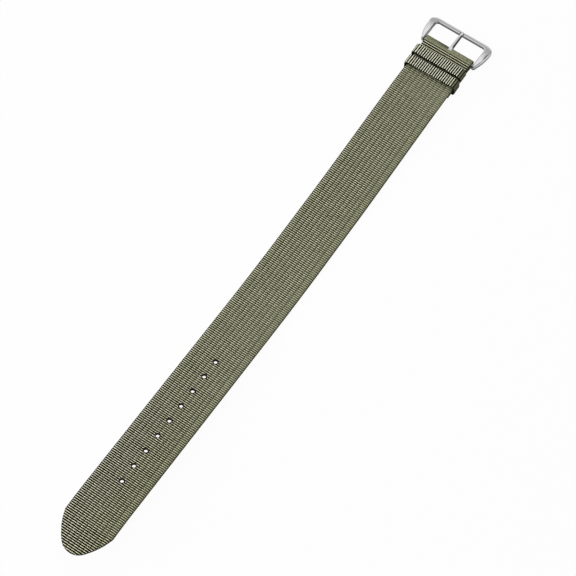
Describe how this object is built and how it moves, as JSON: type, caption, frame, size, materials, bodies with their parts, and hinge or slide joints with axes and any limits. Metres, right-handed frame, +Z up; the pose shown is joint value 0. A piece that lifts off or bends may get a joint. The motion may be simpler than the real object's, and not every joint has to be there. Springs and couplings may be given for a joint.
{
  "type": "nylon watch band",
  "caption": "One-piece woven nylon watch band with a spear tip, a row of tongue holes, a steel pin buckle on a spring bar, and a fixed and a sliding nylon keeper.",
  "frame": {"origin": "middle of the band's length and width, on the surface it lies on", "axes": "+Y runs along the band to the buckle, +X across it, +Z up from the table through the upper face"},
  "size_m": [0.0274, 0.249, 0.0107],
  "materials": {
    "webbing": "ribbed nylon webbing, sage green",
    "keeper_tape": "ribbed nylon tape, sage green",
    "thread": "twisted nylon thread, dark olive",
    "buckle_steel": "satin stainless steel",
    "bar_steel": "turned stainless steel"
  },
  "bodies": {
    "band": {"strap_webbing": "webbing", "fixed_keeper": "keeper_tape", "fixed_keeper_seam": "thread", "tail_seam": "thread"},
    "buckle": {"buckle_frame": "buckle_steel"},
    "tongue": {"buckle_tongue": "buckle_steel"},
    "bar": {"spring_bar_tube": "bar_steel", "spring_bar_spring": "bar_steel"},
    "plunger_left": {"spring_bar_plunger_left": "bar_steel"},
    "plunger_right": {"spring_bar_plunger_right": "bar_steel"},
    "loose_keeper": {"sliding_keeper": "keeper_tape"}
  },
  "joints": [
    {"name": "buckle_swing", "type": "hinge", "parent": "band", "child": "buckle", "pos_m": [0, 0.11385, 0.00226], "axis": [1, 0, 0], "range_deg": [-90, 15]},
    {"name": "tongue_lift", "type": "hinge", "parent": "buckle", "child": "tongue", "pos_m": [0, 0.11385, 0.00226], "axis": [1, 0, 0], "range_deg": [0, 50]},
    {"name": "bar_turn", "type": "hinge", "parent": "band", "child": "bar", "pos_m": [0, 0.11385, 0.00226], "axis": [1, 0, 0], "continuous": true},
    {"name": "plunger_left_press", "type": "slide", "parent": "bar", "child": "plunger_left", "axis": [1, 0, 0], "range_m": [0, 0.0009], "stiffness_N_per_m": 400, "springref_m": -0.001, "deforming": ["spring_bar_spring"]},
    {"name": "plunger_right_press", "type": "slide", "parent": "bar", "child": "plunger_right", "axis": [-1, 0, 0], "range_m": [0, 0.0009], "stiffness_N_per_m": 400, "springref_m": -0.001, "deforming": ["spring_bar_spring"]},
    {"name": "keeper_slide", "type": "slide", "parent": "band", "child": "loose_keeper", "axis": [0, -1, 0], "range_m": [0, 0.038]}
  ]
}
